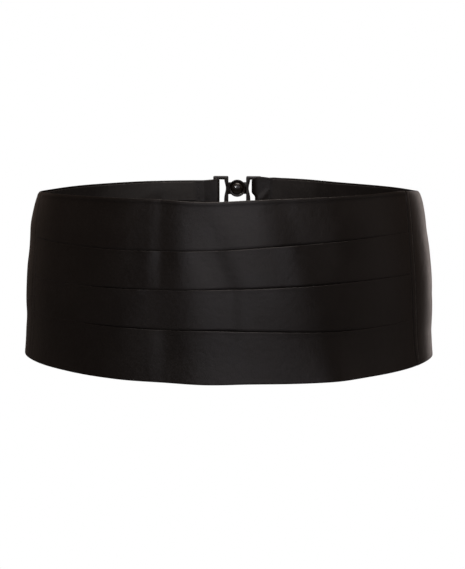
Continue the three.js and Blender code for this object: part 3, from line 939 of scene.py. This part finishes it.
def claspRing():
    rim = halfPlate + ring["rimRise"]
    bore, outer, leg = ring["bore"], ring["radius"], clasp["legInner"]
    back, edge, web = ring["backRound"], ring["rimRound"], clasp["webHalfHeight"]
    profile = [
        (bore, ring["boreBevel"] - halfPlate),
        (bore + ring["boreBevel"], -halfPlate),
        *arcOf((outer - back, back - halfPlate), (back, back), -90, 0, 4),
        *arcOf((outer - edge, rim - edge), (edge, edge), 0, ring["rimTurn"], 6),
    ]
    for start, name in ((outer, "rimFoot"), (stud["radius"], "dish"), (bore, "boreEdge")):
        profile += [(start + away, halfPlate + height) for away, height in ring[name]]
    piece = addPiece("ringHalf", claspFrame())
    face = halfPlate - clasp["webSet"]
    webLoop = box(bore + clasp["webIn"], leg + clasp["webOut"], -web, web)
    combine(piece, "UNION", plateMesh([webLoop], face, -face, clasp["webRound"]))
    past = rim + ring["clearPast"]
    clear = [(0, -past), (ring["clearRadius"], -past), (ring["clearRadius"], past), (0, past)]
    combine(piece, "DIFFERENCE", turnedMesh(clear, clasp["sides"]))
    combine(piece, "UNION", turnedMesh(profile, clasp["sides"]))
    finishClasp(piece, True)
    return piece


def claspStud():
    face = halfPlate + clasp["runningGap"]
    back = face + stud["tongueThick"]
    seat = face - ring["boreStep"]
    web, leg, post, radius = clasp["webHalfHeight"], clasp["legInner"], stud["postRadius"], stud["radius"]
    piece = addPiece("studHalf", claspFrame())
    linkLoop = box(*(leg + away for away in stud["linkFromLeg"]), -web, web)
    combine(piece, "UNION", plateMesh([linkLoop], back, clasp["webSet"] - halfPlate, clasp["webRound"]))
    web = web - stud["tongueSet"]
    tongue = box(-post - stud["tonguePastPost"], leg + stud["tongueInFrame"], -web, web, stud["tongueRound"])
    combine(piece, "UNION", plateMesh([tongue], back - stud["tongueSet"], face, clasp["webRound"]))
    edge, chamfer, start = stud["headEdge"], stud["headChamfer"], -face - stud["postInTongue"]
    dome = arcOf((0, seat + edge), (radius, stud["rise"] - edge), 0, 90, stud["headSteps"])[:-1]
    profile = [(0, start), (post, start), (post, seat), (radius - chamfer, seat), (radius, seat + chamfer)]
    profile += [*dome, (0, seat + stud["rise"])]
    combine(piece, "UNION", turnedMesh(profile, clasp["sides"]))
    finishClasp(piece, False)
    return piece


# Sewing: rows of stitches that follow lines on the cloth
stitches = {
    "pitch": 2.6, "length": 1.7, "width": 0.42, "slipPitch": 6.0, "slipLength": 1.1, "slipWidth": 0.336,
    "slipBelow": 0.35, "slipOut": 0.1, "slipAngles": (-160, 160, 500), "strapPoints": 12, "seamPoints": 60,
    "seamAway": 4.3, "seamShort": 2.0, "seamHeightsAt": 67.0, "seamRidgeShare": 0.3, "tabAway": 2.2,
    "tabTurnAt": 165, "tabOut": 0.05, "strapAway": 3.0, "strapTurnAt": 150, "strapOut": 0.02,
    "strapShort": (1.2, 1.4), "unevenness": (0.85, 1.1), "seed": 7,
}


def stitchRowTree():
    # one stitch at each even step along every line, set along it and a little uneven in its length
    tree = bpy.data.node_groups.new("stitchRow", "GeometryNodeTree")
    socket(tree, "Lines", "INPUT", "NodeSocketGeometry")
    for name in ("Pitch", "Stitch Length", "Thread Width"):
        socket(tree, name, "INPUT")
    socket(tree, "Seed", "INPUT", "NodeSocketInt")
    socket(tree, "Thread", "INPUT", "NodeSocketMaterial")
    socket(tree, "Stitches", "OUTPUT", "NodeSocketGeometry")
    given = tree.nodes.new("NodeGroupInput").outputs
    curve = addNode(tree, "GeometryNodeMeshToCurve", {"Mesh": given["Lines"]})
    steps = {"Curve": curve.outputs["Curve"], "Length": given["Pitch"]}
    points = addNode(tree, "GeometryNodeResampleCurve", steps, mode="LENGTH")
    tangent = addNode(tree, "GeometryNodeInputTangent").outputs[0]
    turned = addNode(tree, "FunctionNodeAlignRotationToVector", {"Vector": tangent}, axis="X")
    stitch = addNode(tree, "GeometryNodeMeshUVSphere", {"Segments": 6, "Rings": 5, "Radius": 0.5})
    shortest, longest = stitches["unevenness"]
    uneven = addNode(tree, "FunctionNodeRandomValue", {2: shortest, 3: longest, "Seed": given["Seed"]})
    length = mathNode(tree, "MULTIPLY", given["Stitch Length"], uneven.outputs[1])
    size = {"X": length, "Y": given["Thread Width"], "Z": given["Thread Width"]}
    placed = addNode(tree, "GeometryNodeInstanceOnPoints", {
        "Points": points.outputs["Curve"],
        "Instance": stitch.outputs["Mesh"],
        "Rotation": turned.outputs[0],
        "Scale": addNode(tree, "ShaderNodeCombineXYZ", size).outputs[0],
    })
    real = addNode(tree, "GeometryNodeRealizeInstances", {0: placed.outputs[0]})
    soft = addNode(tree, "GeometryNodeSetShadeSmooth", {0: real.outputs[0]})
    thread = {"Geometry": soft.outputs[0], "Material": given["Thread"]}
    addNode(tree, "NodeGroupOutput", {0: addNode(tree, "GeometryNodeSetMaterial", thread).outputs[0]})
    return tree


stitchRow = stitchRowTree()


def sewn(name, lines, pitch, length, width):
    # lines are lists of points in millimetres
    mesh = bpy.data.meshes.new(name)
    points, edges = [], []
    for line in lines:
        edges += [(len(points) + k, len(points) + k + 1) for k in range(len(line) - 1)]
        points += [tuple(point * mm) for point in line]
    mesh.from_pydata(points, edges, [])
    piece = addPiece(name, mesh)
    row = piece.modifiers.new("stitchRow", "NODES")
    values = {
        "Pitch": pitch * mm,
        "Stitch Length": length * mm,
        "Thread Width": width * mm,
        "Seed": stitches["seed"],
        "Thread": sewingThread,
    }
    row.node_group = stitchRow
    for item in stitchRow.interface.items_tree:
        if item.name in values:
            row[item.identifier] = values[item.name]
    bakeModifiers(piece)
    return piece


def strapLine(angle, offset, side):
    aboveFoot, belowTop = stitches["strapShort"]
    top = float(topAt(np.array(side * angle))) - belowTop
    heights = np.linspace(claspHeight + strapFoot + aboveFoot, top, stitches["strapPoints"])
    return wallPoint(side * angle + 0 * heights, heights, offset)


def seamLine(side):
    at = np.array(side * stitches["seamHeightsAt"])
    short = stitches["seamShort"]
    heights = np.linspace(hemAt(at) + short, topAt(at) - short, stitches["seamPoints"])
    angles = seamAt(heights) + turnOf(stitches["seamAway"], band["seamAngle"])
    out = panels["outer"] + panels["ridges"][side] * stitches["seamRidgeShare"] - panels["stitchDip"]
    return wallPoint(side * angles, heights, out)


strong = (stitches["pitch"], stitches["length"], stitches["width"])
tabAway = turnOf(stitches["tabAway"], stitches["tabTurnAt"])
tabFace = -straps["liningGap"] - straps["solidCloth"] - stitches["tabOut"]
strapSeam = band["strapAngle"] - turnOf(stitches["strapAway"], stitches["strapTurnAt"])
slipAngles = np.linspace(*stitches["slipAngles"])
slipHeights = topAt(slipAngles) - band["liningBelowTop"] - stitches["slipBelow"]
slipFace = lining["outer"] - lining["cloth"] - stitches["slipOut"]
sides = (-1, 1)
rowLines = {
    "tabStitches": [strapLine(tabEnd(side) + tabAway, tabFace, side) for side in sides],
    "strapStitches": [strapLine(strapSeam, panels["outer"] + stitches["strapOut"], side) for side in sides],
    "seamStitches": [seamLine(side) for side in sides],
}
stitchedRows = {name: sewn(name, lines, *strong) for name, lines in rowLines.items()}
stitchedRows["liningStitches"] = sewn(
    "liningStitches",
    [wallPoint(slipAngles, slipHeights, slipFace)],
    stitches["slipPitch"],
    stitches["slipLength"],
    stitches["slipWidth"],
)
print("stitches sewn")

ringHalf = claspRing()
studHalf = claspStud()
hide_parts("clasp_socket")
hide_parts("clasp_stud")
print("clasp halves moulded")

for piece in (*clothPieces.values(), ringHalf, studHalf, *stitchedRows.values()):
    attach(piece, "root")


def cutSize(mesh):
    # length and width of the cloth laid flat, from its own flat map
    flat = np.empty(len(mesh.loops) * 2)
    mesh.uv_layers["clothFlat"].data.foreach_get("uv", flat)
    flat = flat.reshape(-1, 2)
    return float(flat[:, 0].max()), float(flat[:, 1].max()) / 2


for name, piece in clothPieces.items():
    size = cutSize(piece.data)


# Camera, stage and light
viewpoint = {
    "lens": 102.22, "distance": 1.15, "azimuth": 5.5, "height": 0.148, "pitch": 7.745, "shiftX": 0.00854,
    "sensor": 36, "clipStart": 0.01,
}
cameraData = bpy.data.cameras.new("photoView")
cameraData.lens = viewpoint["lens"]
cameraData.sensor_width = viewpoint["sensor"]
cameraData.shift_x = viewpoint["shiftX"]
cameraData.clip_start = viewpoint["clipStart"]
camera = bpy.data.objects.new("photoView", cameraData)
turn = math.radians(viewpoint["azimuth"])
camera.location = (
    viewpoint["distance"] * math.sin(turn),
    -viewpoint["distance"] * math.cos(turn),
    viewpoint["height"],
)
camera.rotation_euler = (math.radians(90 - viewpoint["pitch"]), 0, turn)
scene.collection.objects.link(camera)
scene.camera = camera

# Area lamps: at is azimuth, elevation and distance, and only is the one piece that a lamp lights
softboxes = {
    "frontBox": {"size": (1.6, 1.3), "at": (2.5, 12, 1.8), "power": 5.9, "tint": (1.0, 0.965, 1.045)},
    "rightBox": {"size": (1.3, 1.4), "at": (80, 8, 1.9), "power": 0.85, "tint": (1.0, 0.88, 0.86)},
    "leftRim": {"size": (0.25, 1.0), "at": (-150, 8, 1.4), "power": 0.02, "tint": (1.0, 0.86, 0.78)},
    "rightRim": {"size": (0.3, 1.0), "at": (150, 4, 1.4), "power": 1.25, "tint": (1.0, 0.88, 0.84)},
    "topBox": {"size": (0.8, 0.8), "at": (10, 75, 1.3), "power": 13.0, "tint": (1.0, 0.88, 0.8)},
    "insideBox": {"size": (1.5, 0.5), "at": (42, 28, 1.5), "power": 4.2, "tint": (1.0, 0.97, 0.96),
                  "only": "innerLining"},
    "tabLamp": {"size": (1.1, 0.5), "at": (38, 28, 1.5), "power": 1.4, "tint": (1.0, 0.97, 0.96),
                "only": "leftStrap"},
    "claspLamp": {"size": (0.2, 0.2), "at": (-17, 14, 1.5), "power": 6.5, "tint": (1.0, 1.0, 1.0),
                  "only": "studHalf"},
    "ringLamp": {"size": (0.2, 0.2), "at": (-17, 14, 1.5), "power": 3.2, "tint": (1.0, 0.95, 0.9),
                 "only": "ringHalf"},
}


def addSoftbox(name, look):
    data = bpy.data.lights.new(name, "AREA")
    data.shape = "RECTANGLE"
    data.size, data.size_y = look["size"]
    data.energy = look["power"]
    data.color = look["tint"]
    lamp = bpy.data.objects.new(name, data)
    azimuth, elevation, distance = look["at"]
    azimuth, elevation = math.radians(azimuth), math.radians(elevation)
    towards = Vector((
        math.sin(azimuth) * math.cos(elevation),
        -math.cos(azimuth) * math.cos(elevation),
        math.sin(elevation),
    ))
    lamp.location = towards * distance
    lamp.rotation_mode = "QUATERNION"
    lamp.rotation_quaternion = towards.to_track_quat("Z", "Y")
    lamp.visible_camera = False
    if "only" in look:
        lit = bpy.data.collections.new(name + "Lit")
        lit.objects.link(bpy.data.objects[look["only"]])
        lamp.light_linking.receiver_collection = lit
    scene.collection.objects.link(lamp)


for name, look in softboxes.items():
    addSoftbox(name, look)

room = {
    "floorBelow": 0.42, "floorSize": 8.0, "floorTone": (0.22, 0.22, 0.22), "floorRoughness": 0.9,
    "fill": 0.083, "fillTint": (1.0, 0.74, 0.59), "paper": (1.0, 1.0, 1.0),
}


def whiteToCamera(tree, shader, kind, output):
    # the camera sees plain white paper, and everything else sees the shader
    white = addNode(tree, kind, {"Color": room["paper"]}).outputs[0]
    cameraRay = addNode(tree, "ShaderNodeLightPath").outputs["Is Camera Ray"]
    mix = addNode(tree, "ShaderNodeMixShader", {0: cameraRay, 1: shader.outputs[0], 2: white})
    tree.links.new(mix.outputs[0], tree.nodes[output].inputs["Surface"])


def paperFloor():
    made = bmesh.new()
    bmesh.ops.create_grid(made, x_segments=4, y_segments=4, size=room["floorSize"] / 2)
    bmesh.ops.translate(made, verts=made.verts, vec=(0, 0, -room["floorBelow"]))
    mesh = bpy.data.meshes.new("paperFloor")
    made.to_mesh(mesh)
    made.free()
    material, tree, shader = startMaterial("whitePaper")
    fill(tree, shader.inputs["Base Color"], room["floorTone"])
    fill(tree, shader.inputs["Roughness"], room["floorRoughness"])
    whiteToCamera(tree, shader, "ShaderNodeEmission", "Material Output")
    return addPiece("paperFloor", mesh, material)


paperFloor()

world = bpy.data.worlds.new("studio")
scene.world = world
world.use_nodes = True
dim = world.node_tree.nodes["Background"]
fill(world.node_tree, dim.inputs["Color"], room["fillTint"])
fill(world.node_tree, dim.inputs["Strength"], room["fill"])
whiteToCamera(world.node_tree, dim, "ShaderNodeBackground", "World Output")
scene.view_settings.view_transform = "Standard"
scene.view_settings.look = "None"
print("camera and light set")

bpy.context.view_layer.update()
